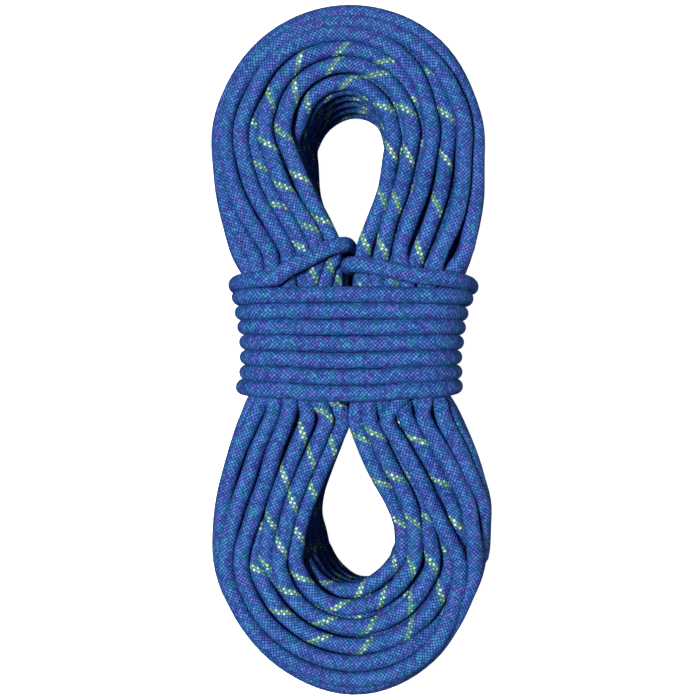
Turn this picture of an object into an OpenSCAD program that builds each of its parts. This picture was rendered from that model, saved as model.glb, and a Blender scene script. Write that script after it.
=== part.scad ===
// Dynamic climbing rope, single rope of 60 m, put away as a hank: the loops are
// drawn in at the waist, wrapped seven times and locked by a bight that goes
// through the upper eye. The hank lies flat on its back, +Y runs along it towards
// the locking turn, +Z is up, and the origin is under the middle of its box.

/* [Rope] */
// Diameter of the rope
rope_d = 9.8; // [8.5:0.1:11]
// Thickness of the woven sheath
sheath_t = 1.2; // [0.8:0.1:1.6]
// Diameter of one cord of the kern
kern_cord_d = 1.6; // [1.2:0.05:2]
// Cords in the middle of the kern
kern_inner_count = 3; // [1:1:4]
// Cords round the middle ones
kern_outer_count = 9; // [6:1:12]
// Length of the film sleeve on each rope end
sleeve_l = 22; // [10:1:40]
// Thickness of the film sleeve
sleeve_t = 0.1; // [0.05:0.05:0.4]

/* [Hank] */
// Loops of the outer winding
loops = 23; // [8:1:24]
// Step from one loop to the next across the bundle
loop_pitch = 11.1; // [9:0.05:12]
// Width of one side's bundle between strand centres
bundle_w = 51.5; // [30:0.5:80]
// Corner radius of the bundle, at the strand centres
bundle_r = 20; // [8:0.5:24]
// Length of the upper lobe, waist to outermost strand centre
upper_l = 214.3; // [150:0.5:260]
// Length of the lower lobe, waist to outermost strand centre
lower_l = 214.3; // [150:0.5:260]
// Height above the waist where the upper lobe is widest
upper_belly = 119; // [80:1:150]
// Depth below the waist where the lower lobe is widest
lower_belly = 112; // [80:1:150]
// Half width of the upper lobe at its outermost strand centre
upper_half_w = 82; // [60:0.5:110]
// Half width of the lower lobe at its outermost strand centre
lower_half_w = 83.6; // [60:0.5:110]
// Squareness of the upper lobe's end, 2 is an ellipse
upper_square = 2.2; // [2:0.1:3]
// Squareness of the lower lobe's end, 2 is an ellipse
lower_square = 2; // [2:0.1:3]
// Extra half width of the bundle at the top of the waist
neck_extra = 1.5; // [0:0.5:5]

/* [Eyes] */
// Half width of both eyes at the innermost strand centre
eye_half_w = 26; // [15:0.5:40]
// Far end of the upper eye at the innermost strand centre
upper_eye_l = 158; // [120:1:180]
// Far end of the lower eye at the innermost strand centre
lower_eye_l = 156; // [120:1:180]
// Sideways shift of the lower eye
lower_eye_shift = 4.5; // [0:0.5:10]
// Half gap between the two bundles at the waist
waist_half_gap = 5.2; // [4.5:0.1:8]
// Half gap that the two legs of the bight push open
crotch_half_gap = 11.4; // [10:0.1:15]

/* [Wraps] */
// Turns of the rope round the waist
wraps = 7; // [3:1:9]
// Step from one wrap to the next
wrap_pitch = 10.3; // [9:0.05:12]
// Place along the hank of the first wrap on the front
first_wrap_y = -26.6; // [-40:0.1:0]
// Clearance between rope that lies on rope
seat_gap = 0.3; // [0.1:0.05:1]
// Depth of the flat where rope rests on the floor
floor_cut = 0.98; // [0.3:0.01:1.5]

/* [Hidden] */

sheath_colour = [0.16, 0.24, 0.42];
core_colour = [0.22, 0.24, 0.34];
kern_colour = [0.93, 0.92, 0.88];
film_colour = [0.12, 0.12, 0.13];

// Places that follow from the sizes
rope_r = rope_d / 2;
over = rope_d + seat_gap; // one rope lying on another, centre to centre
floor_z = rope_r - floor_cut; // centre of rope that rests on the floor
bundle_round = 2 * PI * bundle_r;
perimeter = loops * loop_pitch;
flat_w = bundle_w - 2 * bundle_r;
flat_d = (perimeter - bundle_round) / 2 - flat_w;
bundle_d = flat_d + 2 * bundle_r;
waist_half_w = waist_half_gap + bundle_w;

// Stations along one side of a loop, from the bottom of the lower lobe to the
// top of the upper one: three steps round each end, the rest along the side.
cap_steps = 3;
side_y = [-lower_belly, -74, -34, 33, 54, 84, upper_belly];
side_lift = [3.5, over + 0.2, over + 0.2, over, over + 1.4, over + 1, 3.5];
side_steps = len(side_y) - 1;
top_station = 2 * cap_steps + side_steps;
loop_rings = 2 * top_station;
first_station = cap_steps + 3; // where the winding starts: the upper edge of the waist

// One rounded step from 0 to 1
function ease(x) = (1 - cos(180 * min(1, max(0, x)))) / 2;

// Half width of the outermost strand at a height y along the side
function outer_x(y) = let (
        up = y > 0,
        start = up ? side_y[3] : -side_y[2],
        belly = up ? upper_belly : lower_belly,
        half_w = up ? upper_half_w : lower_half_w,
        least_w = waist_half_w + (up ? neck_extra : 0),
        q = min(1, max(0, (abs(y) - start) / (belly - start))))
    least_w + (half_w - least_w) * sin(90 * q);

// Half width of the innermost strand at a height y along the side
crotch_y = side_y[4];
lower_crotch_y = 42;
function inner_x(y) = y > 0
    ? waist_half_gap + (crotch_half_gap - waist_half_gap) * ease((y - side_y[3]) / (crotch_y - side_y[3]))
        + (eye_half_w - crotch_half_gap) * ease((y - crotch_y - 6) / (upper_belly - crotch_y - 6))
    : waist_half_gap
        + (eye_half_w - waist_half_gap) * ease((-y - lower_crotch_y) / (lower_belly - lower_crotch_y));

// A point of an oval end: half width a, length b, squareness n, angle from the side
function oval(a, b, n, angle) = [a * pow(cos(angle), 2 / n), b * pow(sin(angle), 2 / n)];

// A station gives [inner x, inner y, outer x, outer y, lift, shift of the eye]
function station(j) =
    j < cap_steps ? let (
            angle = 90 * (cap_steps - j) / cap_steps,
            eye = oval(eye_half_w, lower_eye_l - lower_belly, 2, angle),
            rim = oval(lower_half_w, lower_l - lower_belly, lower_square, angle))
        [eye[0], -lower_belly - eye[1], rim[0], -lower_belly - rim[1], 0, lower_eye_shift]
    : j > cap_steps + side_steps ? let (
            angle = 90 * (j - cap_steps - side_steps) / cap_steps,
            eye = oval(eye_half_w, upper_eye_l - upper_belly, 2, angle),
            rim = oval(upper_half_w, upper_l - upper_belly, upper_square, angle))
        [eye[0], upper_belly + eye[1], rim[0], upper_belly + rim[1], 0, 0]
    : let (n = j - cap_steps, y = side_y[n])
        [inner_x(y), y, outer_x(y), y, side_lift[n],
            y < 0 ? lower_eye_shift * ease((-y - lower_crotch_y) / (lower_belly - lower_crotch_y)) : 0];

// A place in the bundle's section, at a length p round it from the outer end of
// its back: [distance out from the eye, height above the back strands]
function section(p) = let (
        s = p - perimeter * floor(p / perimeter),
        quarter = bundle_round / 4,
        a = quarter, b = a + flat_d, c = b + quarter, d = c + flat_w, e = d + quarter,
        f = e + flat_d, g = f + quarter)
    s < a ? corner(bundle_w - bundle_r, bundle_r, -90 + 90 * s / quarter)
    : s < b ? [bundle_w, bundle_r + s - a]
    : s < c ? corner(bundle_w - bundle_r, bundle_d - bundle_r, 90 * (s - b) / quarter)
    : s < d ? [bundle_w - bundle_r - (s - c), bundle_d]
    : s < e ? corner(bundle_r, bundle_d - bundle_r, 90 + 90 * (s - d) / quarter)
    : s < f ? [0, bundle_d - bundle_r - (s - e)]
    : s < g ? corner(bundle_r, bundle_r, 180 + 90 * (s - f) / quarter)
    : [bundle_r + s - g, 0];
function corner(u, w, angle) = [u + bundle_r * cos(angle), w + bundle_r * sin(angle)];

// A section place put at ring k of a loop, which goes up the right side first
function place(k, at) = let (
        n = k - loop_rings * floor(k / loop_rings) + first_station,
        j = n <= top_station ? n : n <= 2 * top_station ? 2 * top_station - n : n - 2 * top_station,
        side = n > top_station && n < 2 * top_station ? -1 : 1,
        row = station(j),
        f = at[0] / bundle_w)
    [side * (row[0] + (row[2] - row[0]) * f) + row[5] * (1 - f),
     row[1] + (row[3] - row[1]) * f,
     floor_z + row[4] + at[1]];

// The winding walks once round the section, one step a loop, so it never climbs
last_ring = loop_rings * loops - 2;
function winding_point(i) = place(i, section((i - last_ring) / loop_rings * loop_pitch));
winding_rings = [for (i = [0:last_ring]) winding_point(i)];
start_run = 14;
start_at = winding_rings[0] - [0, start_run, 0];
next_point = winding_point(last_ring + 1);
end_way = unit([next_point[0] - winding_rings[last_ring][0], next_point[1] - winding_rings[last_ring][1], -1.5]);
winding_end = winding_rings[last_ring] + rope_d * end_way;
winding_route = concat([start_at], winding_rings, [winding_end]);

// Wraps: rounded rectangles that climb one step a turn and follow the bundle's
// width. Each corner is three rings of the polygon that goes round its arc.
wrap_r = bundle_r + over;
wrap_mid_z = floor_z + over + bundle_d / 2;
wrap_half_h = bundle_d / 2 + over;
corner_rings = 3;
turn_rings = 4 * corner_rings;
rim = [for (y = side_y) [y, outer_x(y)]];
function wrap_half_w(y) = lookup(y + rope_r, rim) + over;
// Ring n of the wraps, which leave the back towards -X and climb the left side
function wrap_point(n) = let (
        turn = floor(n / turn_rings),
        quarter = floor((n - turn * turn_rings) / corner_rings),
        way = (n - turn * turn_rings + 0.5) / turn_rings,
        angle = -90 - 360 * way,
        y = first_wrap_y + wrap_pitch * (turn + way - 0.5),
        r = wrap_r / cos(45 / corner_rings),
        x_mid = (quarter < 2 ? -1 : 1) * (wrap_half_w(y) - wrap_r),
        z_mid = wrap_mid_z + (quarter == 1 || quarter == 2 ? 1 : -1) * (wrap_half_h - wrap_r))
    [x_mid + r * cos(angle), y, z_mid + r * sin(angle)];

// Lead from the winding's end under the back to the first wrap
lead = [[49.5, -55.5, 9.6], [46, -48.5, 5.6], [40, -41.5, floor_z], [30, -37, floor_z], [12, -33.4, floor_z]];
joint = 0.3; // cut between two stretches of the one rope
lead_start = winding_end + joint * end_way;
wraps_end_x = 30;
wraps_end = [wraps_end_x, wrap_point(turn_rings * wraps - 1)[1] + 0.4, floor_z];
wrap_route = concat(
    [lead_start, lead_start + rope_d * end_way],
    lead,
    [for (n = [0:turn_rings * wraps - 1]) wrap_point(n)],
    [wraps_end]);

// The bight comes up through the upper eye, goes round the neck and back down
// through the eye. Round the neck it is a rounded rectangle like the wraps.
front_z = floor_z + side_lift[4] + bundle_d + over;
neck_mid_y = 49.2;
neck_half_w = outer_x(neck_mid_y) + over;
neck_y = [49, 48.4, 48.2, 48.2, 49.1, 50.7, 50.4, 47.6, 45, 43.8, 44, 45.6];
eye_mid_z = front_z / 2;
neck_back_y = 52.4;
rise_y = 51;
fall_y = 61.8;
function neck_point(k) = let (
        angle = 90 - 360 * (k + 0.5) / turn_rings,
        r = wrap_r / cos(45 / corner_rings),
        x_mid = (k < turn_rings / 2 ? 1 : -1) * (neck_half_w - wrap_r),
        z_mid = k < turn_rings / 4 || k >= 3 * turn_rings / 4 ? front_z - wrap_r : floor_z + wrap_r)
    [x_mid + r * cos(angle), neck_y[k], z_mid + r * sin(angle)];
// The bight's steps where it rises and falls through the eye, in rope diameters:
// [across, along, over the floor strands or under the front]
rise_low = [[1.17, -1, 0.1], [0.46, -0.76, 0.56], [0.06, -0.35, 1.17], [0, -0.06, 2.04], [0, 0, 3.67]];
rise_high = [[0, 0, -2.86], [0.08, -0.01, -1.43], [0.47, -0.04, -0.51], [1.22, -0.08, -0.06], [2.45, -0.12, 0]];
fall_high = [[-3.06, -1.26, 0], [-1.73, -0.73, 0], [-0.82, -0.31, -0.18], [-0.2, -0.06, -0.77], [0, 0, -1.84]];
fall_low = [[0, 0, 2.45], [0.16, 0.02, 0.97], [0.82, 0.05, 0.23], [1.73, 0.07, 0.12], [2.76, 0.07, 0.12]];
function steps(list, y, z) = [for (p = list) [0, y, z] + rope_d * p];
bight_route = concat(
    [wraps_end - [joint, 0, 0], wraps_end - [rope_d, 0, 0]],
    steps(rise_low, rise_y, floor_z),
    [[0, rise_y, eye_mid_z]],
    steps(rise_high, rise_y, front_z),
    [for (k = [0:turn_rings / 2 - 1]) neck_point(k)],
    [[0, neck_back_y, floor_z]],
    [for (k = [turn_rings / 2:turn_rings - 1]) neck_point(k)],
    steps(fall_high, fall_y, front_z),
    [[0, fall_y, eye_mid_z]],
    steps(fall_low, fall_y, floor_z));

function unit(v) = v / norm(v);

// Distance from a point to the straight piece between two others
function to_piece(p, a, b) = let (
        ab = b - a,
        t = min(1, max(0, ((p - a) * ab) / (ab * ab))))
    norm(p - a - t * ab);
// Least gap of a route to itself, past its own next rings
function own_gap(route, skip) = min([for (i = [0:len(route) - 1])
    for (j = [i + skip:1:len(route) - 2]) to_piece(route[i], route[j], route[j + 1])]) - rope_d;
union() {
    echo(winding_gap = own_gap(winding_route, loop_rings / 2));
    echo(wrap_gap = own_gap(wrap_route, turn_rings - 3));
    echo(bight_gap = own_gap(bight_route, 8));
}

// A tube of six sides along a route. Its rings stand on a side way that follows
// the reference direction, and nothing of it goes under the floor.
sides = 6;
module tube(route, reference) {
    count = len(route);
    ways = [for (i = [0:count - 1])
        unit(route[min(count - 1, i + 1)] - route[max(0, i - 1)])];
    points = [for (i = [0:count - 1])
        let (side = unit(cross(ways[i], reference)), up = cross(side, ways[i]))
        for (k = [0:sides - 1])
            let (p = route[i] + rope_r * (sin(360 * k / sides) * side + cos(360 * k / sides) * up))
            [p[0], p[1], max(0, p[2])]];
    skin = [for (i = [0:count - 2]) for (k = [0:sides - 1])
        let (a = sides * i + k, b = sides * i + (k + 1) % sides)
        each [[a, b, a + sides], [b, b + sides, a + sides]]];
    near_end = [for (k = [1:sides - 2]) [0, k + 1, k]];
    last = sides * (count - 1);
    far_end = [for (k = [1:sides - 2]) [last, last + k, last + k + 1]];
    polyhedron(points, concat(skin, near_end, far_end), convexity = 10);
}

module outer_loops() color(sheath_colour) tube(winding_route, [0, 0, 1]);

module waist_wraps() color(sheath_colour) tube(wrap_route, [0, 1, 0]);

module locking_bight() color(sheath_colour) tube(bight_route, [0.15, 1, 0.1]);

// Plain core for the loops inside the winding, open at both eyes
core_inset = rope_r + seat_gap;
core_cut = bundle_r - core_inset;
core_section = [for (sx = [0, 1]) for (sz = [0, 1]) for (n = [0, 1])
    let (first = sx == sz ? n : 1 - n,
        u = core_inset + core_cut * first, w = core_inset + core_cut * (1 - first))
    [sx == 0 ? u : bundle_w - u, sz == 0 ? w : bundle_d - w]];
core_order = [1, 5, 4, 6, 7, 3, 2, 0];
module loop_core() color(core_colour) {
    count = len(core_order);
    points = [for (k = [0:loop_rings - 1]) for (n = core_order) place(k, core_section[n])];
    skin = [for (k = [0:loop_rings - 1]) for (n = [0:count - 1])
        let (a = count * k + n, b = count * k + (n + 1) % count,
            c = (a + count) % len(points), d = (b + count) % len(points))
        each [[a, b, c], [b, d, c]]];
    polyhedron(points, skin, convexity = 10);
}

// The working end leaves the eye on the back and lies across the right bundle,
// its sleeve shrunk on so that the rope is a little thinner inside it
tail_l = 41;
tip_round = 1.2;
sleeve_d = rope_d + 2 * sleeve_t;
shrunk_d = sleeve_d - 4 * sleeve_t - 0.1;
tail_start = bight_route[len(bight_route) - 1] + [joint, 0, 0];

module rope_end(l) {
    rotate_extrude($fn = 96) polygon([
        [0, 0], [rope_r, 0], [rope_r, l - sleeve_l - 0.2], [shrunk_d / 2, l - sleeve_l - 0.2],
        [shrunk_d / 2, l - tip_round], [shrunk_d / 2 - tip_round, l], [0, l]]);
}
module film_sleeve() {
    difference() {
        cylinder(d = sleeve_d, h = sleeve_l - 2 * tip_round, $fn = 96);
        translate([0, 0, -1]) cylinder(d = shrunk_d + 0.1, h = sleeve_l, $fn = 96);
    }
}

module tail_rope() color(sheath_colour) translate(tail_start) rotate([0, 90, 0]) rope_end(tail_l);
module tail_sleeve() color(film_colour)
    translate(tail_start + [tail_l - sleeve_l, 0, 0]) rotate([0, 90, 0]) film_sleeve();

// The first end of the rope lies under the wraps, in the place that the winding
// leaves free there. It is open inside: a sheath round the cords of the kern.
start_l = 44;
bore_d = rope_d - 2 * sheath_t;
cord_gap = 0.1;
outer_ring_r = bore_d / 2 - cord_gap - kern_cord_d / 2;
inner_ring_r = outer_ring_r - kern_cord_d - cord_gap;
module at_start_end() translate(start_at + [0, joint, 0]) rotate([90, 0, 0])
    translate([0, 0, 2 * joint]) children();

module start_sheath() color(sheath_colour) at_start_end() difference() {
    rope_end(start_l);
    translate([0, 0, -1]) cylinder(d = bore_d, h = start_l + 2, $fn = 96);
}
module start_sleeve() color(film_colour) at_start_end() translate([0, 0, start_l - sleeve_l]) film_sleeve();
module kern_cord(i) {
    middle = i <= kern_inner_count;
    angle = middle ? 360 * i / kern_inner_count : 360 * (i - kern_inner_count) / kern_outer_count;
    color(kern_colour) at_start_end() rotate(angle) translate([middle ? inner_ring_r : outer_ring_r, 0, 0.5])
        cylinder(d = kern_cord_d, h = start_l - 1, $fn = 48);
}

outer_loops();
loop_core();
waist_wraps();
locking_bight();
tail_rope();
tail_sleeve();
start_sheath();
start_sleeve();
for (i = [1:kern_inner_count + kern_outer_count])
    kern_cord(i);
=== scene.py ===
import math

import bpy
import numpy as np
from mathutils import Matrix, Vector


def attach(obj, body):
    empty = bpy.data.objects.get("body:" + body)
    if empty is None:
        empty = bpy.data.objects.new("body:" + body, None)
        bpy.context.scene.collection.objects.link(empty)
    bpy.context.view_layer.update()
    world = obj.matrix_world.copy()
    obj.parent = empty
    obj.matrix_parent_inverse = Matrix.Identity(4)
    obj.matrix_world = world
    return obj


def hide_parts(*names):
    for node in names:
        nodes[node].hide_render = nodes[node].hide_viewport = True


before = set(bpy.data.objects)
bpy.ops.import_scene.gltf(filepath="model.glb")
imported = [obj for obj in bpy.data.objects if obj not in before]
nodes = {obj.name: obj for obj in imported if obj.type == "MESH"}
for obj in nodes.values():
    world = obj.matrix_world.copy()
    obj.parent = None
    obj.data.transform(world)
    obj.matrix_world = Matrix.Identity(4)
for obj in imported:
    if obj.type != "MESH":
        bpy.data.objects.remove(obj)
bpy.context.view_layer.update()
MM = 0.001

# ---------------------------------------------------------------- camera
# It looks almost straight down on the front of the hank, from its right.
EYE = np.array([63.0, 0.0, 1159.0])
LENS_PX = 1743.8  # focal length in pixels of the 700 pixel wide picture
LEAN = 0.0568  # the eye's sideways place over its height above the strands

camera = bpy.data.objects.new("camera", bpy.data.cameras.new("camera"))
bpy.context.scene.collection.objects.link(camera)
camera.data.sensor_width = 36.0
camera.data.lens = 36.0 * LENS_PX / 700
camera.location = Vector(EYE * MM)
aim = Vector((0.0, 0.0, 0.050))
back = (camera.location - aim).normalized()
right = Vector((0, 1, 0)).cross(back).normalized()
up = back.cross(right)
camera.rotation_mode = "QUATERNION"
camera.rotation_quaternion = Matrix((right, up, back)).transposed().to_quaternion()
camera.data.clip_start, camera.data.clip_end = 0.05, 20
bpy.context.scene.camera = camera


def seen(px, py, z):
    """Where a strand centre that is seen at picture place (px, py) lies, at height z."""
    far = EYE[2] - z
    return np.array([EYE[0] + ((px - 350) / LENS_PX - LEAN) * far, (350 - py) / LENS_PX * far])


# ---------------------------------------------------------------- sizes, mm
ROPE = 9.8
R = ROPE / 2
FLOOR = R - 0.98  # centre of rope that rests on the floor
BUNDLE_W = 51.5
BUNDLE_D = 93.3
OVER = ROPE + 0.3
BELLY_Z = 50  # height at which the bundle's sides are widest
WAIST_Y = 5  # middle of the wraps
WAIST_HALF = 30  # the bundle is held tight as far as this from the waist's middle
CALM_RUN = 18  # and loosens over this length
MIDDLE = 62  # about the middle of the bundle, from its pole or middle line


def smooth(x):
    x = np.clip(x, 0, 1)
    return (1 - np.cos(np.pi * x)) / 2


# ---------------------------------------------------------------- stations
# One loop goes up the right side, over the top, down the left side and round the
# bottom. A station is a line across the bundle: its angle, the point that it
# starts from, its innermost strand at the back and at the front, its outermost
# strand, and how far the wraps lift the bundle off the floor there.
# On the sides the three distances are from the middle line, on the ends from the pole.
STATIONS = [
    # name, angle, x, y, in back, in front, out, lift
    ("wr14", 0, 4.3, 14.0, 6.3, 6.3, 57.0, 10.1),
    ("wr33", 0, 3.9, 33.0, 6.6, 7, 61.8, 10.1),
    ("ur250", 0, 2.8, 60.4, 11, 11, 73, 11.3),
    ("ur225", 0, 2.8, 75.6, 16, 16, 77, 11.2),
    ("ur190", 0, 2.8, 96.7, 24, 24, 80.7, 8),
    ("ur150", 0, 2.8, 121, 27.5, 28.5, 80.3, 3.5),
    ("u30", 30, 2.8, 121, 25, 29, 82.3, 1),
    ("u60", 60, 2.8, 121, 31.8, 35.8, 90.4, 0),
    ("u90", 90, 2.8, 121, 33.6, 43.5, 94.2, 0),
    ("u120", 120, 2.8, 121, 32.6, 42.4, 94.2, 0),
    ("u150", 150, 2.8, 121, 31.2, 37, 90.6, 1),
    ("ul150", 180, 2.8, 121, 25.6, 33, 83.5, 3.5),
    ("ul190", 180, 2.8, 96.7, 24.3, 24.5, 81, 8),
    ("ul225", 180, 2.8, 75.6, 16, 12.5, 76, 11.2),
    ("ul250", 180, 2.8, 60.4, 7, 7, 71.5, 11.3),
    ("wl33", 180, 3.9, 33.0, 2.4, 3.6, 54.0, 10.1),
    ("wl14", 180, 4.3, 14.0, 2.8, 2.8, 50.8, 10.1),
    ("wl4", 180, 4.6, -4.0, 2.4, 2.4, 49.3, 10.1),
    ("wl22", 180, 5.0, -22.0, 2.4, 2.4, 51.4, 10.1),
    ("ll415", 180, 5.84, -39.3, 4, 2.8, 64.4, 10.2),
    ("ll445", 180, 5.84, -57.4, 10.4, 7, 71.2, 10.3),
    ("ll475", 180, 5.84, -75.6, 17.4, 14.5, 76.7, 10),
    ("ll505", 180, 5.84, -93.7, 22.9, 23.5, 81, 6.5),
    ("ll527", 180, 5.84, -107.5, 23.8, 26, 82.8, 4.5),
    ("ll545", 180, 5.84, -118, 20.2, 28, 83.4, 3),
    ("l210", 210, 5.84, -118, 25.2, 36, 90.4, 1),
    ("l240", 240, 5.84, -118, 28.8, 36, 94.3, 0),
    ("l270", 270, 5.84, -118, 35.3, 31, 97, 0),
    ("l300", 300, 5.84, -118, 35, 27, 88.4, 0),
    ("l330", 330, 5.84, -118, 28, 28, 77, 1),
    ("lr545", 360, 5.84, -118, 32, 35.5, 82.6, 3),
    ("lr527", 360, 5.84, -107.5, 32, 35, 83.6, 4.5),
    ("lr505", 360, 5.84, -93.7, 28, 29.7, 83.8, 6.5),
    ("lr475", 360, 5.84, -75.6, 19, 19.5, 79.5, 10),
    ("lr445", 360, 5.84, -57.4, 11, 11.3, 72.7, 10.3),
    ("lr415", 360, 5.84, -39.3, 7, 6.5, 64.4, 10.2),
    ("wr22", 360, 5.0, -22.0, 6, 6, 55.2, 10.1),
    ("wr4", 360, 4.6, -4.0, 6, 6, 54.7, 10.1),
]
NAMES = [s[0] for s in STATIONS]

# ---------------------------------------------------------------- the section
# 68 places in 13 rows, from the back to the front: six and five in turn, and
# four in the first and last row, whose corners are round.
ROWS = 13
place_of = {}
for row in range(ROWS):
    if row % 2:
        across = [5.15, 15.45, 25.75, 36.05, 46.35]
    elif row in (0, ROWS - 1):
        across = [10.3, 20.6, 30.9, 41.2]
    else:
        across = [0, 10.3, 20.6, 30.9, 41.2, 51.5]
    for column, u in enumerate(across):
        place_of[(row, column)] = (u, BUNDLE_D * row / (ROWS - 1))

# The order in which the rope takes these places: back to front on the eye's side,
# across the front, and front to back on the outer side.
order = [(0, 2), (0, 1), (0, 0)]
for row in range(1, 11):
    order += [(row, c) for c in ((0, 1, 2) if row % 2 else (2, 1, 0))]
A, B, H, C, G = (11, 0), (12, 0), (11, 1), (12, 1), (11, 2)
E, D, I, F = (12, 3), (12, 2), (11, 3), (11, 4)
order += [A, B, H, C, G, E, D, I, F]
for row in range(10, 0, -1):
    order += [(row, c) for c in ((3, 4) if row % 2 else (5, 4, 3))]
order += [(0, 3)]
LOOPS = len(order)
assert LOOPS == len(place_of) == len(set(order)), (LOOPS, len(place_of))
index_of = {slot: n for n, slot in enumerate(order)}

# Strands of the front, read off the picture: for each station its place, a pixel
# column on the sides and a distance from the pole in pixels on the ends, and how
# deep it lies, in steps of 4 mm below the ridge. A stretch out of sight is None, or
# a guess where the strands need room: D's right side, G's and (10, 5)'s bottom.
POLE_UP_PX, POLE_LOW_PX = (350, 150), (355, 545)  # the poles in the picture
DEPTH_STEP = 4
UP = ["ur250", "ur225", "ur190", "ur150", "u30", "u60", "u90", "u120", "u150",
      "ul150", "ul190", "ul225", "ul250"]
LOW = ["ll415", "ll445", "ll475", "ll505", "ll527", "ll545", "l210", "l240", "l270", "l300",
       "l330", "lr545", "lr527", "lr505", "lr475", "lr445", "lr415"]
FRONT_UP = {
    A: ([363.5, 372.5, 385, 391.5, 47.5, 57.5, 68, 67, 58, 294, 309, 324, 334], "1111112233333"),
    B: ([383, 388.5, 401, 410, 68, 78, 86, 84.5, 74, 289.5, 306, 325, 335], "0000000000011"),
    C: ([389, 396, 411, 420, 76, 92.5, 102, 102.5, 93.5, 270, 285.5, 308, 318], "2222211000000"),
    G: ([420.5, 430.5, 441.5, 447, 105, 112, 112, 111, 104, 255.5, 269.5, 290.5, 304],
        "0001133321100"),
    D: ([400, 408.5, 421.5, 430, 89, 106, 117, 119.5, 113, 241.5, 253, 272.5, 287],
        "0000000000000"),
    E: ([440.5, 453, 461.5, 464, 118.5, 124, 128, 130, 129, 225.5, 234.5, 252.5, 269],
        "0000012111000"),
    F: ([466, 471, 476, 477, 128, 135.5, 137, 135.5, 133.5, 220, 223, 235.5, 251.5],
        "2222334443211"),
}
FRONT_LOW = {
    A: ([343, 333.5, 320, 312, 305.5, 303, 52, 50, 45,
         41, 42.5, 402.5, 401.5, 393.5, 377.5, 364, 355], "34555655433222111"),
    B: ([343, 333, 319.5, 307, 300, 297, 62, 64, 62.5,
         59.5, 59.4, 415, 414, 410, 395.5, 380.5, 369], "11111111110000000"),
    C: ([326.5, 317, 303.5, 292, 286, 282, 81, 82.5, 82.5,
         81.3, 79.5, 431, 427, 421, 407, 391, 378], "00000000000012222"),
    G: ([308, 297.5, 285.5, 275, 270, 267, 92, 98, 104,
         106, 107, 461, 457, 451.5, 438.5, 421.5, 405], "00001123333322100"),
    H: ([None, None, None, 264, 260, 256, 100.5, 101, 102,
         101, 98.5, 442, None, None, None, None, None], "00042200001200000"),
    D: ([288, 276.5, 267, 257, 249, 243, 117.8, 118.3, 119,
         116, 113, 447, 441, 431, 413, 396, 381], "00000000005555555"),
    E: ([272, 258.5, 248, 237.5, 230.5, 226.5, 133, 134.5, 135.5,
         131, 114.6, 452.5, 443, 432, 418, 401, 387], "11000011100000000"),
    F: ([254, 240, 229.5, 223, 221.5, 221, 134, 137, 141,
         131.5, 122.5, 474, 471.5, 468, 454.5, 438.5, 423], "00122333331000000"),
    (10, 5): ([None, None, None, None, None, None, 134, 137.5, 141,
         132, 123.5, 480, 482, 481.5, 467, 453.5, 438], "00000066666332110"),
    (8, 5): ([None, None, None, None, None, None, None, None, None,
         None, None, 484, 484, 484, 476, 465, 448], "00000000000554332"),
}

# ---------------------------------------------------------------- fine stations
stop = np.array([[math.radians(s[1]), s[2], s[3]] for s in STATIONS + STATIONS[:1]])
stop[-1, 0] = 2 * math.pi
SIDE_MIDDLE = 40  # the same on the straight sides, for the length along the rope
mids = np.array([SIDE_MIDDLE if s[1] % 180 == 0 else MIDDLE for s in STATIONS + STATIONS[:1]])
ways = np.stack([np.cos(stop[:, 0]), np.sin(stop[:, 0])], 1)
middle = stop[:, 1:3] + ways * mids[:, None]
t_stop = np.concatenate([[0], np.cumsum(np.linalg.norm(np.diff(middle, axis=0), axis=1))])
STEP = 4.4  # distance of the fine stations
S = int(round(t_stop[-1] / STEP))
t_fine = np.arange(S) * t_stop[-1] / S


def along(values, turn=0.0):
    """A smooth closed curve through one value per station, read at the fine stations.

    Each round adds turn to it, as an angle does.
    """
    v = np.asarray(values, float)
    t = t_stop
    n = len(v)
    ext_v = np.concatenate([[v[-1] - turn], v, [v[0] + turn, v[1] + turn]])
    ext_t = np.concatenate([[t[n - 1] - t[n]], t[:n], [t[n], t[n] + t[1]]])
    slope = np.zeros(n + 1)
    for k in range(n + 1):
        a, b = ext_t[k + 1] - ext_t[k], ext_t[k + 2] - ext_t[k + 1]
        left, right = (ext_v[k + 1] - ext_v[k]) / a, (ext_v[k + 2] - ext_v[k + 1]) / b
        slope[k] = (left * b + right * a) / (a + b)
    k = np.clip(np.searchsorted(t, t_fine, side="right") - 1, 0, n - 1)
    h = t[k + 1] - t[k]
    x = (t_fine - t[k]) / h
    v1 = np.concatenate([v, [v[0] + turn]])
    return (v1[k] * (2 * x**3 - 3 * x**2 + 1) + h * slope[k] * (x**3 - 2 * x**2 + x)
            + v1[k + 1] * (3 * x**2 - 2 * x**3) + h * slope[k + 1] * (x**3 - x**2))


def straight(values):
    """Straight lines through one value per station, read at the fine stations."""
    v = np.asarray(values, float)
    return np.interp(t_fine, t_stop, np.concatenate([v, v[:1]]))


def distance(s, value):
    """From a station's listed distance to one along its line."""
    if s[1] in (0, 360):
        return value - s[2]
    if s[1] == 180:
        return value + s[2]
    return value


ANGLE = along([math.radians(s[1]) for s in STATIONS], 2 * math.pi)
OX, OY = along([s[2] for s in STATIONS]), along([s[3] for s in STATIONS])
IN_BACK = along([distance(s, s[4]) for s in STATIONS])
IN_FRONT = along([distance(s, s[5]) for s in STATIONS])
OUT = along([distance(s, s[6]) for s in STATIONS])
LIFT = along([s[7] for s in STATIONS])
DIR = np.stack([np.cos(ANGLE), np.sin(ANGLE)], 1)

from_waist = np.abs(OY + MIDDLE * DIR[:, 1] - WAIST_Y) - WAIST_HALF
calm = smooth(from_waist / CALM_RUN)[:, None]  # 0 under the wraps
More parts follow.
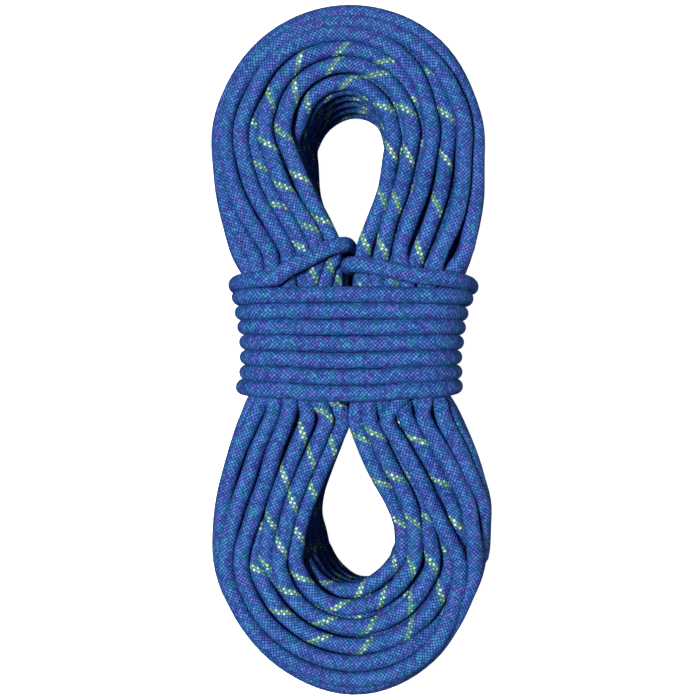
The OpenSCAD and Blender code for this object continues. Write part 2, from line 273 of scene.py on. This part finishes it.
# Outside the waist the bundle's side leans in above its middle as the sight line does
edge = (DIR * (np.stack([OX, OY], 1) - EYE[:2])).sum(1) + OUT + R
LEAST_LEAN = 0.02
lean = np.maximum(edge / (EYE[2] - BELLY_Z), LEAST_LEAN)[:, None] * calm
base_q = np.zeros((S, LOOPS))
base_z = np.zeros((S, LOOPS))
SPRING, EDGE_SPRING = 0.015, 0.35  # how firmly a strand keeps to its row's place
pull = np.full((1, LOOPS), SPRING)
for n, slot in enumerate(order):
    u, w = place_of[slot]
    inner = IN_BACK + (IN_FRONT - IN_BACK) * w / BUNDLE_D
    base_z[:, n] = FLOOR + LIFT + w
    outer = OUT - lean[:, 0] * np.maximum(base_z[:, n] - BELLY_Z, 0)
    base_q[:, n] = inner + (outer - inner) * u / BUNDLE_W
    if u == BUNDLE_W:
        pull[0, n] = EDGE_SPRING

# Pins: where a front strand is held, and how firmly
WALL_ROWS, WALL_HOLD = 10, 0.9
pin_q, pin_z, pin_w = base_q.copy(), base_z.copy(), np.zeros((S, LOOPS))
for n, slot in enumerate(order):
    if place_of[slot][0] == 0 and slot[0] < WALL_ROWS:  # the walls of the eyes
        pin_w[:, n] = WALL_HOLD * calm[:, 0]
for slot in {**FRONT_UP, **FRONT_LOW}:
    n = index_of[slot]
    u, w = place_of[slot]
    q_list, z_list, w_list = [], [], []
    for s in STATIONS:
        inner = distance(s, s[4]) + (distance(s, s[5]) - distance(s, s[4])) * w / BUNDLE_D
        q = inner + (distance(s, s[6]) - inner) * u / BUNDLE_W
        z = FLOOR + s[7] + w
        held = 0.0
        for names, table in ((UP, FRONT_UP), (LOW, FRONT_LOW)):
            if s[0] in names and slot in table:
                k = names.index(s[0])
                value = table[slot][0][k]
                if value is None:
                    continue
                z = FLOOR + s[7] + BUNDLE_D - DEPTH_STEP * int(table[slot][1][k])
                if s[1] % 180 == 0:
                    q = distance(s, abs(seen(value, 350, z)[0]) if s[1] != 180
                                 else -seen(value, 350, z)[0])
                else:
                    pole_px = POLE_UP_PX if s[1] < 180 else POLE_LOW_PX
                    way = (math.cos(math.radians(s[1])), math.sin(math.radians(s[1])))
                    x, y = seen(pole_px[0] + value * way[0], pole_px[1] - value * way[1], z)
                    q = (x - s[2]) * way[0] + (y - s[3]) * way[1]
                held = 1.0
        q_list.append(q)
        z_list.append(z)
        w_list.append(held)
    pin_q[:, n], pin_z[:, n] = along(q_list), along(z_list)
    pin_w[:, n] = straight(w_list) ** 2

# A strand out of sight goes below the front strand that sinks to its place.
SINK_GAP = 8
for under, over in (((10, 5), F), ((10, 0), A), (I, G)):
    a, b = index_of[under], index_of[over]
    sunk = smooth((base_z[:, b] - pin_z[:, b]) / DEPTH_STEP)
    base_z[:, a] += sunk * np.minimum(0, pin_z[:, b] - SINK_GAP - base_z[:, a])

# ---------------------------------------------------------------- packing
# The strands start in even rows, a little uneven, and push each other apart in
# every section while they keep smooth along the rope.
UNEVEN_Q, UNEVEN_Z = 1.1, 0.9
rng = np.random.default_rng(7)
phase = rng.uniform(0, 2 * math.pi, (4, LOOPS))
turns = t_fine / t_stop[-1] * 2 * math.pi
noise_q = sum(np.sin((k + 2) * turns[:, None] + phase[k]) for k in (0, 1)) * UNEVEN_Q
noise_z = sum(np.sin((k + 1) * turns[:, None] + phase[k]) for k in (2, 3)) * UNEVEN_Z
Q = base_q + noise_q * calm
Z = base_z + noise_z * calm
GAP = 9.75  # the distance that the strands push each other to
PUSH, SMOOTHING = 0.55, 0.22
corner = 20 - 4 * calm  # the bundle's corners are rounder under the wraps
ROUNDS = 90
front_z = FLOOR + LIFT + BUNDLE_D
for turn in range(ROUNDS):
    Q += (pin_q - Q) * pin_w
    Z += (pin_z - Z) * pin_w
    dq = Q[:, :, None] - Q[:, None, :]
    dz = Z[:, :, None] - Z[:, None, :]
    far = np.sqrt(dq * dq + dz * dz) + 1e-6
    push = np.where(far < GAP, (GAP - far) / far, 0.0)
    free = 1 - pin_w
    share = free[:, :, None] / (free[:, :, None] + free[:, None, :] + 1e-3)
    Q += PUSH * (dq * push * share).sum(2)
    Z += PUSH * (dz * push * share).sum(2)
    for _ in range(2):
        Q += SMOOTHING * free * (np.roll(Q, 1, 0) + np.roll(Q, -1, 0) - 2 * Q)
        Z += SMOOTHING * free * (np.roll(Z, 1, 0) + np.roll(Z, -1, 0) - 2 * Z)
    Q += pull * (base_q - Q)
    Z += SPRING * (base_z - Z)
    # the bundle's own outline: flat sides, back and front, round corners
    low, high = (FLOOR + LIFT)[:, None], front_z[:, None]
    deep = np.clip((Z - low) / BUNDLE_D, 0, 1)
    inner = IN_BACK[:, None] + (IN_FRONT - IN_BACK)[:, None] * deep
    outer = OUT[:, None] - lean * np.maximum(Z - BELLY_Z, 0)
    Qc, Zc = np.clip(Q, inner, outer), np.clip(Z, low, high)
    cx = np.clip(Qc, inner + corner, outer - corner)
    cz = np.clip(Zc, low + corner, high - corner)
    ex, ez = Qc - cx, Zc - cz
    e = np.sqrt(ex * ex + ez * ez) + 1e-6
    shrink = np.minimum(1, corner / e)
    Qc, Zc = cx + ex * shrink, cz + ez * shrink
    held = pin_w > 0.5
    Q, Z = np.where(held, Q, Qc), np.where(held, Z, Zc)
Z = np.maximum(Z, FLOOR)
far = np.sqrt((Q[:, :, None] - Q[:, None, :]) ** 2 + (Z[:, :, None] - Z[:, None, :]) ** 2)
far += np.eye(LOOPS) * 99  # not a strand's distance from itself
print("packing: least distance", round(float(far.min()), 2), "percentiles 1, 5, 20, 50",
      np.round(np.percentile(far.min(2), [1, 5, 20, 50]), 2))

X = OX[:, None] + Q * DIR[:, 0:1]
Y = OY[:, None] + Q * DIR[:, 1:2]
strands = np.stack([X, Y, Z], 2)  # station, loop, xyz

# ---------------------------------------------------------------- the rope's way
# In the right side of the waist, under the wraps, each loop moves on to the next place.
right_low = t_fine > t_stop[NAMES.index("lr545")]
right_up = t_fine < t_stop[NAMES.index("ur190")]


BACK_MOVE, FRONT_MOVE = (-88.0, -36.0), (-34.0, 44.0)  # from where to where in y


def moved(station_y, slot_a, slot_b):
    """How far a strand has moved from its place to the next loop's."""
    back = slot_a[0] < 2 or slot_b[0] < 2
    y0, y1 = BACK_MOVE if back else FRONT_MOVE
    return smooth((station_y - y0) / (y1 - y0))


loops = []
for n, slot in enumerate(order):
    way = strands[:, n].copy()
    if n:
        e = moved(OY, order[n - 1], slot)[:, None]
        way[right_up] = (strands[:, n - 1] * (1 - e) + strands[:, n] * e)[right_up]
    if n + 1 < LOOPS:
        e = moved(OY, slot, order[n + 1])[:, None]
        way[right_low] = (strands[:, n] * (1 - e) + strands[:, n + 1] * e)[right_low]
    loops.append(way)

start_end = np.array([38.57, 19.0, 14.04])  # the first end, where its open sheath begins
FIRST_Y, LAST_Y = 30, -72  # where the first loop begins and the last one stops
first = loops[0][(OY > FIRST_Y) | ~right_up]
loops[0] = np.concatenate([[start_end, start_end + [0, 4, 0]], first])
last_cut = np.argmax(right_low & (OY > LAST_Y))
loops[-1] = loops[-1][:last_cut]


def curve(points, step):
    """A smooth line through points, at even steps."""
    p = np.asarray(points, float)
    d = np.concatenate([[0], np.cumsum(np.linalg.norm(np.diff(p, axis=0), axis=1))])
    slope = np.gradient(p, d, axis=0)
    m = max(2, int(round(d[-1] / step)) + 1)
    t = np.linspace(0, d[-1], m)
    k = np.clip(np.searchsorted(d, t, side="right") - 1, 0, len(d) - 2)
    h = (d[k + 1] - d[k])[:, None]
    x = ((t - d[k]) / (d[k + 1] - d[k]))[:, None]
    return (p[k] * (2 * x**3 - 3 * x**2 + 1) + h * slope[k] * (x**3 - 2 * x**2 + x)
            + p[k + 1] * (3 * x**2 - 2 * x**3) + h * slope[k + 1] * (x**3 - x**2))


# The wraps: rounded rectangles round the waist. For each turn, from the lowest up:
# the front run's middle, the sides, and how far left and right the sides are.
WRAPS = 7
WRAP_R = 30.1  # radius of the corners
BOW_HALF = 36  # half the width over which a front run is bowed
wrap_z = FLOOR + OVER + BUNDLE_D / 2
half_z = BUNDLE_D / 2 + OVER
WRAP_FRONT = [-26, -16.3, -6.4, 3.6, 13.5, 23.5, 33.3]
WRAP_SIDE = [-22.7, -13.7, -4.4, 4.9, 14.2, 23.0, 32.4]
WRAP_LEFT = [63.6, 61.5, 61.2, 61.6, 62.8, 64.3, 66.2]
WRAP_RIGHT = [65.4, 65.1, 65, 66.1, 67.3, 68.9, 72.0]


def corner_points(x_side, y0, y1, first, last, steps=6):
    """A quarter turn at one side of the wraps, from angle first to last in degrees."""
    points = []
    for i in range(steps + 1):
        share = i / steps
        angle = math.radians(first + (last - first) * share)
        x_mid = math.copysign(x_side - WRAP_R, math.cos(math.radians((first + last) / 2)))
        z_mid = wrap_z + math.copysign(half_z - WRAP_R, math.sin(math.radians((first + last) / 2)))
        points.append([x_mid + WRAP_R * math.cos(angle), y0 + (y1 - y0) * smooth(share),
                       z_mid + WRAP_R * math.sin(angle)])
    return points


wrap_points = []
for k in range(WRAPS):
    top = k == WRAPS - 1
    side_y, front_y = WRAP_SIDE[k], WRAP_FRONT[k]
    ends_y = side_y + 0.45 * (front_y - side_y)
    left, right_side = WRAP_LEFT[k], WRAP_RIGHT[k]
    last_y = 36.5 if top else side_y + 1.2
    wrap_points += corner_points(left, side_y - (1.5 if k else 2.5), side_y, -90, -180)
    wrap_points += corner_points(left, side_y, ends_y, 180, 90)
    for x in np.linspace(-left + WRAP_R + 9, right_side - WRAP_R - 9, 5):
        bow = 1 - (x / BOW_HALF) ** 2
        wrap_points.append([x, ends_y + (front_y - ends_y) * max(bow, 0) ** 0.7,
                            wrap_z + half_z])
    wrap_points += corner_points(right_side, ends_y, side_y, 90, 0)
    wrap_points += corner_points(right_side, side_y, last_y, 0, -90)
wraps = np.array(wrap_points)

front = FLOOR + 10.1 + 1.4 + BUNDLE_D + OVER  # centre of the bight's legs
lead = np.array([[49.5, -55.5, 9.6], [46, -48.5, 5.6], [40, -41.5, FLOOR], [30, -37, FLOOR],
                 [12, -33.4, FLOOR]])

# The bight: a loop that comes up through the upper eye, lies round the hank above
# the wraps and goes down through the eye again. Its right leg is on the eye's far side.
NECK_LEFT, NECK_RIGHT = 67.2, 73.4


def neck(side, first, last, y0, y1):
    """The bight's quarter turn round one side of the bundle, angles in degrees."""
    x_mid = NECK_RIGHT - WRAP_R if side > 0 else -(NECK_LEFT - WRAP_R)
    middle_z = front - WRAP_R if first + last > 0 else FLOOR + WRAP_R
    points = []
    for i in range(6):
        angle = math.radians(first + (last - first) * (i + 0.5) / 6)
        points.append([x_mid + side * WRAP_R * math.cos(angle),
                       y0 + (y1 - y0) * smooth((i + 0.5) / 6), middle_z + WRAP_R * math.sin(angle)])
    return points


bight_points = (
    [[20.2, 40.3, FLOOR], [11.5, 41.2, FLOOR + 1], [6.5, 43.6, FLOOR + 5.5],
     [3.4, 47.2, FLOOR + 11.5], [2.6, 49.8, FLOOR + 20], [2.5, 50.6, FLOOR + 36],
     [2.5, 50.8, front / 2], [2.0, 50.8, front - 28], [2.3, 51.2, front - 15],
     [4.6, 51.6, front - 6], [9.5, 51.2, front - 1.5], [15.9, 50.4, front], [27.8, 47.7, front],
     [33.8, 46.3, front], [40, 45.1, front]]
    + neck(1, 90, 0, 43.8, 41.0) + neck(1, 0, -90, 41.0, 51.5)
    + [[30, 52.4, FLOOR], [0, 52.4, FLOOR], [-25, 52.0, FLOOR]]
    + neck(-1, -90, 0, 51.5, 41.0) + neck(-1, 0, 90, 41.0, 43.0)
    + [[-34.8, 47.7, front], [-25.9, 52.2, front], [-16.9, 57, front - 0.3],
       [-11, 60.3, front - 1.3], [-5, 62.6, front - 4.4], [-0.8, 63.5, front - 10],
       [0.9, 63.7, front - 18], [1.2, 63.6, front - 30], [1.2, 62.8, front / 2],
       [1.0, 62.4, FLOOR + 24], [2.6, 62.4, FLOOR + 9.5], [8, 62.4, 6.1],
       [17, 62.5, 5.1], [27.3, 62.5, 5.1], [68.3, 62.5, 5.1]]
)
meeting = [30, 40.0, FLOOR]  # where the wraps end and the bight begins
wrap_way = curve(np.concatenate([[loops[-1][-1]], lead, wraps, [meeting]]), 3.6)
bight_way = curve(np.array([meeting] + bight_points), 3.4)

# ---------------------------------------------------------------- tubes
SIDES, WRAP_SIDES = 14, 16  # corners of a tube's section
CARRIERS = 12
HELIX = 0.029  # metres of rope for one turn of a yarn


def rope_mesh(name, way, start_len, sides=SIDES):
    """A tube round a way in mm. Its map runs once round the rope, and along it in metres."""
    p = np.asarray(way, float)
    t = np.gradient(p, axis=0)
    t /= np.linalg.norm(t, axis=1)[:, None]
    side = np.zeros_like(p)
    ref = np.array([0, 0, 1.0]) if abs(t[0][2]) < 0.9 else np.array([0, 1.0, 0])
    v = np.cross(t[0], ref)
    side[0] = v / np.linalg.norm(v)
    for i in range(1, len(p)):
        v = side[i - 1] - t[i] * (side[i - 1] @ t[i])
        side[i] = v / np.linalg.norm(v)
    up = np.cross(side, t)
    a = np.arange(sides) * 2 * math.pi / sides
    ring = (np.cos(a)[None, :, None] * side[:, None, :] + np.sin(a)[None, :, None] * up[:, None, :])
    verts = p[:, None, :] + R * ring
    verts[:, :, 2] = np.maximum(verts[:, :, 2], 0)
    n = len(p)
    i, k = np.meshgrid(np.arange(n - 1), np.arange(sides), indexing="ij")
    a0, b0 = i * sides + k, i * sides + (k + 1) % sides
    quads = np.stack([a0, b0, b0 + sides, a0 + sides], 2).reshape(-1, 4)
    caps = [list(range(sides))[::-1], [(n - 1) * sides + s for s in range(sides)]]
    mesh = bpy.data.meshes.new(name)
    flat = verts.reshape(-1, 3) * MM
    mesh.from_pydata(flat.tolist(), [], quads.tolist() + caps)
    length = np.concatenate([[0], np.cumsum(np.linalg.norm(np.diff(p, axis=0), axis=1))])
    length += start_len % (HELIX / MM)  # the braid repeats, and small numbers keep it sharp
    uv = mesh.uv_layers.new(name="rope")
    u0, u1 = k / sides, (k + 1) / sides
    v0, v1 = length[i] * MM, length[i + 1] * MM
    quad_uv = np.stack([u0, v0, u1, v0, u1, v1, u0, v1], 2).reshape(-1)
    all_uv = np.concatenate([quad_uv, np.zeros(4 * sides)])
    uv.data.foreach_set("uv", all_uv.astype(np.float32))
    mesh.polygons.foreach_set("use_smooth", [True] * len(quads) + [False, False])
    mesh.update()
    obj = bpy.data.objects.new(name, mesh)
    bpy.context.scene.collection.objects.link(obj)
    return obj, float(length[-1] - length[0])


# ---------------------------------------------------------------- materials
def new_material(name):
    """An empty material with its tree and its shader."""
    m = bpy.data.materials.new(name)
    m.use_nodes = True
    tree = m.node_tree
    tree.nodes.clear()
    out = tree.nodes.new("ShaderNodeOutputMaterial")
    bsdf = tree.nodes.new("ShaderNodeBsdfPrincipled")
    tree.links.new(bsdf.outputs[0], out.inputs[0])
    return m, tree, bsdf


def calc(tree, op, a, b=None, clamp=False):
    """A Math node on numbers or sockets."""
    n = tree.nodes.new("ShaderNodeMath")
    n.operation = op
    n.use_clamp = clamp
    for socket, v in zip(n.inputs, (a, b)):
        if v is None:
            continue
        if isinstance(v, (int, float)):
            socket.default_value = v
        else:
            tree.links.new(v, socket)
    return n.outputs[0]


def ramp(tree, fac, stops):
    n = tree.nodes.new("ShaderNodeValToRGB")
    while len(n.color_ramp.elements) < len(stops):
        n.color_ramp.elements.new(0.5)
    for e, (pos, col) in zip(n.color_ramp.elements, stops):
        e.position, e.color = pos, (*col, 1)
    tree.links.new(fac, n.inputs[0])
    return n.outputs[0]


def mix(tree, fac, a, b, how="MIX"):
    n = tree.nodes.new("ShaderNodeMix")
    n.data_type = "RGBA"
    n.blend_type = how
    for socket, v in ((n.inputs[0], fac), (n.inputs[6], a), (n.inputs[7], b)):
        if isinstance(v, (int, float)):
            socket.default_value = v
        elif isinstance(v, tuple):
            socket.default_value = (*v, 1)
        else:
            tree.links.new(v, socket)
    return n.outputs[2]


STRAY = 0.65  # how far the yarns stray, in stitches
TRACER_YARNS = 1.5  # carriers 0 and 1 of one direction hold the tracer


def braid_material(name, tracer):
    """A sheath of yarns that cross over and under, with or without the tracer."""
    m, tree, bsdf = new_material(name)
    uv = tree.nodes.new("ShaderNodeUVMap")
    uv.uv_map = "rope"
    split = tree.nodes.new("ShaderNodeSeparateXYZ")
    tree.links.new(uv.outputs[0], split.inputs[0])
    place = tree.nodes.new("ShaderNodeTexCoord")
    uneven = tree.nodes.new("ShaderNodeTexNoise")
    uneven.inputs["Scale"].default_value = 420
    tree.links.new(place.outputs["Object"], uneven.inputs["Vector"])
    stray = tree.nodes.new("ShaderNodeSeparateColor")
    tree.links.new(uneven.outputs["Color"], stray.inputs[0])
    climb = calc(tree, "ADD", calc(tree, "MULTIPLY", split.outputs[1], CARRIERS / HELIX),
                 calc(tree, "MULTIPLY", stray.outputs[0], STRAY))
    spin = calc(tree, "ADD", calc(tree, "MULTIPLY", split.outputs[0], CARRIERS),
                calc(tree, "MULTIPLY", stray.outputs[1], STRAY))
    a = calc(tree, "SUBTRACT", spin, climb)
    b = calc(tree, "ADD", spin, climb)
    ia, ib = calc(tree, "FLOOR", a), calc(tree, "FLOOR", b)
    fa, fb = calc(tree, "FRACT", a), calc(tree, "FRACT", b)
    both = calc(tree, "ADD", ia, ib)
    over = calc(tree, "LESS_THAN", calc(tree, "FLOORED_MODULO", both, 2.0), 0.5)

    def hump(x, power):  # 0 at both ends of a stitch and 1 in its middle
        y = calc(tree, "SUBTRACT", calc(tree, "MULTIPLY", x, 2.0), 1.0)
        y = calc(tree, "SUBTRACT", 1.0, calc(tree, "MULTIPLY", y, y), clamp=True)
        return calc(tree, "POWER", y, power)

    def pick(fac, yes, no):  # yes where fac is 1
        n = tree.nodes.new("ShaderNodeMix")
        n.data_type = "FLOAT"
        for socket, v in ((n.inputs[0], fac), (n.inputs[2], no), (n.inputs[3], yes)):
            if isinstance(v, (int, float)):
                socket.default_value = v
            else:
                tree.links.new(v, socket)
        return n.outputs[0]

    # each stitch is a hump, with a shallow groove between its two yarns
    width = pick(over, fa, fb)
    pair = hump(calc(tree, "FRACT", calc(tree, "MULTIPLY", width, 2.0)), 0.6)
    across = calc(tree, "ADD", calc(tree, "MULTIPLY", hump(width, 0.9), 0.8),
                  calc(tree, "MULTIPLY", pair, 0.2))
    height = calc(tree, "MULTIPLY", across, hump(pick(over, fb, fa), 0.7))

    # the melange: it drifts from violet to teal, and each yarn and stitch leans to one
    yarn = pick(over, calc(tree, "FLOORED_MODULO", ia, float(CARRIERS)),
                calc(tree, "ADD", 40.5, calc(tree, "FLOORED_MODULO", ib, float(CARRIERS))))
    own = tree.nodes.new("ShaderNodeTexWhiteNoise")
    own.noise_dimensions = "1D"
    tree.links.new(yarn, own.inputs["W"])
    blotch = tree.nodes.new("ShaderNodeTexNoise")
    blotch.inputs["Scale"].default_value = 170
    blotch.inputs["Detail"].default_value = 2
    blotch.inputs["Roughness"].default_value = 0.6
    tree.links.new(place.outputs["Object"], blotch.inputs["Vector"])
    fleck = tree.nodes.new("ShaderNodeTexWhiteNoise")
    fleck.noise_dimensions = "2D"
    stitch = tree.nodes.new("ShaderNodeCombineXYZ")
    tree.links.new(yarn, stitch.inputs[0])
    tree.links.new(calc(tree, "FLOOR", calc(tree, "MULTIPLY", calc(tree, "SUBTRACT", ib, ia), 0.5)),
                   stitch.inputs[1])
    tree.links.new(stitch.outputs[0], fleck.inputs["Vector"])
    parts = tree.nodes.new("ShaderNodeSeparateColor")
    tree.links.new(fleck.outputs["Color"], parts.inputs[0])
    drift = calc(tree, "MULTIPLY", blotch.outputs[0], 2.0)
    tone = calc(tree, "ADD", calc(tree, "MULTIPLY", own.outputs["Value"], 0.16),
                calc(tree, "ADD", drift, calc(tree, "MULTIPLY", parts.outputs[0], 0.26)))
    colour = ramp(tree, calc(tree, "SUBTRACT", tone, 0.71, clamp=True), [
        (0.05, (0.070, 0.070, 0.390)), (0.28, (0.046, 0.088, 0.400)),
        (0.48, (0.033, 0.114, 0.410)), (0.70, (0.025, 0.142, 0.420)),
        (0.95, (0.019, 0.178, 0.320))])
    lit = calc(tree, "ADD", 0.62, calc(tree, "MULTIPLY", parts.outputs[1], 0.76))
    if tracer:
        first = calc(tree, "FLOORED_MODULO", ia, float(CARRIERS))
        on = calc(tree, "MULTIPLY", calc(tree, "LESS_THAN", first, TRACER_YARNS), over)
        lime = ramp(tree, parts.outputs[2], [
            (0.0, (0.150, 0.380, 0.140)), (0.5, (0.260, 0.520, 0.290)),
            (1.0, (0.400, 0.640, 0.500))])
        colour = mix(tree, on, colour, lime)
        between = calc(tree, "SUBTRACT", calc(tree, "LESS_THAN", first, TRACER_YARNS), on)
        colour = mix(tree, calc(tree, "MULTIPLY", between, 0.38), colour, (0.120, 0.340, 0.180))
        height = calc(tree, "MAXIMUM", height, calc(tree, "MULTIPLY", on, 0.42))
    # Painted shade: the colour is darkened towards the low parts of each stitch and is nearly black
    # between stitches. This comes on top of a random tone for each stitch.
    tone_and_painted_shade = calc(tree, "MULTIPLY", lit, calc(tree, "ADD", 0.03, calc(tree, "MULTIPLY", height, 1.52)))
    shade = tree.nodes.new("ShaderNodeCombineXYZ")
    for socket, power in zip(shade.inputs, (1.8, 1.15, 0.75)):  # painted shade: the more the colour is darkened, the purer its blue
        tree.links.new(calc(tree, "POWER", tone_and_painted_shade, power), socket)
    colour = mix(tree, 1.0, colour, shade.outputs[0], "MULTIPLY")
    tree.links.new(colour, bsdf.inputs["Base Color"])
    bsdf.inputs["Roughness"].default_value = 0.65
    bsdf.inputs["Specular IOR Level"].default_value = 0.25
    bump = tree.nodes.new("ShaderNodeBump")
    bump.inputs["Strength"].default_value = 0.55
    bump.inputs["Distance"].default_value = 0.00035
    tree.links.new(height, bump.inputs["Height"])
    tree.links.new(bump.outputs[0], bsdf.inputs["Normal"])
    return m


plain = braid_material("sheath_plain", False)
traced = braid_material("sheath_traced", True)


def simple_material(name, colour, rough, scale, depth):
    """One colour, a little uneven in tone and height."""
    m, tree, bsdf = new_material(name)
    noise = tree.nodes.new("ShaderNodeTexNoise")
    noise.inputs["Scale"].default_value = scale
    noise.inputs["Detail"].default_value = 4
    place = tree.nodes.new("ShaderNodeTexCoord")
    tree.links.new(place.outputs["Object"], noise.inputs["Vector"])
    tone = calc(tree, "ADD", 0.8, calc(tree, "MULTIPLY", noise.outputs[0], 0.4))
    shade = tree.nodes.new("ShaderNodeCombineXYZ")
    for socket in shade.inputs:
        tree.links.new(tone, socket)
    tree.links.new(mix(tree, 1.0, colour, shade.outputs[0], "MULTIPLY"), bsdf.inputs["Base Color"])
    bsdf.inputs["Roughness"].default_value = rough
    bump = tree.nodes.new("ShaderNodeBump")
    bump.inputs["Strength"].default_value = 0.3
    bump.inputs["Distance"].default_value = depth
    tree.links.new(noise.outputs[0], bump.inputs["Height"])
    tree.links.new(bump.outputs[0], bsdf.inputs["Normal"])
    return m


kern = simple_material("kern_cord", (0.82, 0.81, 0.76), 0.7, 2200, 0.0001)
cut_sheath = simple_material("cut_sheath", (0.036, 0.115, 0.430), 0.75, 1500, 0.0002)
film = simple_material("end_film", (0.012, 0.013, 0.015), 0.28, 900, 0.00004)

for start, material in (("kern_cord", kern), ("start_sheath", cut_sheath),
                        ("start_sleeve", film), ("tail_sleeve", film)):
    for name, obj in nodes.items():
        if name.startswith(start):
            obj.data.materials.clear()
            obj.data.materials.append(material)

# ---------------------------------------------------------------- pieces
# The rope is one length, shown as stretches that follow each other.
TRACED = 38  # loops with the tracer, the first part of the rope
groups = []
cuts = [0, 6, 12, 18, 24, 30, 33, 34, 35, 36, 37, 38, 39, 40, 41, 42, 43, 44, 46, 48, 50, 52,
        55, 58, 61, 64, 68]
for g, (n0, n1) in enumerate(zip(cuts[:-1], cuts[1:])):
    groups.append((f"loops_{n0 + 1}_to_{n1}" if n1 - n0 > 1 else f"loop_{n1}",
                   np.concatenate(loops[n0:n1] + ([loops[n1][:1]] if n1 < LOOPS else []))))
run = 0.0
for g, (name, way) in enumerate(groups):
    obj, length = rope_mesh(name, way, run)
    obj.data.materials.append(traced if cuts[g + 1] <= TRACED else plain)
    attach(obj, "root")
    run += length
for name, way in (("rope_wraps", wrap_way), ("rope_bight", bight_way)):
    obj, length = rope_mesh(name, way, run, WRAP_SIDES)
    obj.data.materials.append(plain)
    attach(obj, "root")
    run += length
print("rope length", round(run * MM, 2), "m")
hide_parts("outer_loops")
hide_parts("loop_core")
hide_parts("waist_wraps")
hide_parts("locking_bight", "tail_rope")

# ---------------------------------------------------------------- floor and light
# The floor is flat round the hank and rises far away, as a studio's sweep does.
floor_mesh = bpy.data.meshes.new("floor")
AROUND = 48
FLOOR_DROP = 0.0006  # the rope's lowest points stay clear of it
sweep = [(2.4, 0.0), (2.7, 0.04), (2.95, 0.2), (3.15, 0.55), (3.2, 3.4)]
floor_points = [(r * math.cos(2 * math.pi * k / AROUND), r * math.sin(2 * math.pi * k / AROUND),
                 z - FLOOR_DROP) for r, z in sweep for k in range(AROUND)]
floor_faces = [list(range(AROUND))] + [
    (i * AROUND + k, i * AROUND + (k + 1) % AROUND, (i + 1) * AROUND + (k + 1) % AROUND,
     (i + 1) * AROUND + k) for i in range(len(sweep) - 1) for k in range(AROUND)]
floor_mesh.from_pydata(floor_points, [], floor_faces)
floor = bpy.data.objects.new("floor", floor_mesh)
bpy.context.scene.collection.objects.link(floor)
white, _, bsdf = new_material("white_floor")
bsdf.inputs["Base Color"].default_value = (0.8, 0.8, 0.8, 1)
bsdf.inputs["Roughness"].default_value = 0.9
bsdf.inputs["Emission Color"].default_value = (1, 1, 1, 1)
bsdf.inputs["Emission Strength"].default_value = 1.0
floor_mesh.materials.append(white)
floor.visible_diffuse = floor.visible_glossy = False  # it shows white and lights nothing

world = bpy.data.worlds.new("studio")
world.use_nodes = True
world.node_tree.nodes["Background"].inputs[0].default_value = (1, 1, 1, 1)
world.node_tree.nodes["Background"].inputs[1].default_value = 0.035
bpy.context.scene.world = world
bpy.context.scene.view_settings.view_transform = "Standard"


def lamp(name, at, target, size_m, power):
    """A square soft lamp that looks at target."""
    data = bpy.data.lights.new(name, "AREA")
    data.shape = "SQUARE"
    data.size = size_m
    data.energy = power
    obj = bpy.data.objects.new(name, data)
    bpy.context.scene.collection.objects.link(obj)
    obj.location = Vector(at)
    obj.rotation_mode = "QUATERNION"
    obj.rotation_quaternion = (Vector(target) - Vector(at)).to_track_quat("-Z", "Y")


lamp("key", (-0.6, 0.1, 2.5), (0, 0, 0), 0.4, 75)
FILL_Z, FILL_TARGET, FILL_SIZE = 0.17, (0, 0, 0.06), 0.3
for name, x, y, power in (("left", -1.5, 0, 2.5), ("right", 1.5, 0, 7), ("near", 0, -1.6, 3),
                          ("far", 0, 1.6, 3)):
    lamp(name, (x, y, FILL_Z), FILL_TARGET, FILL_SIZE, power)
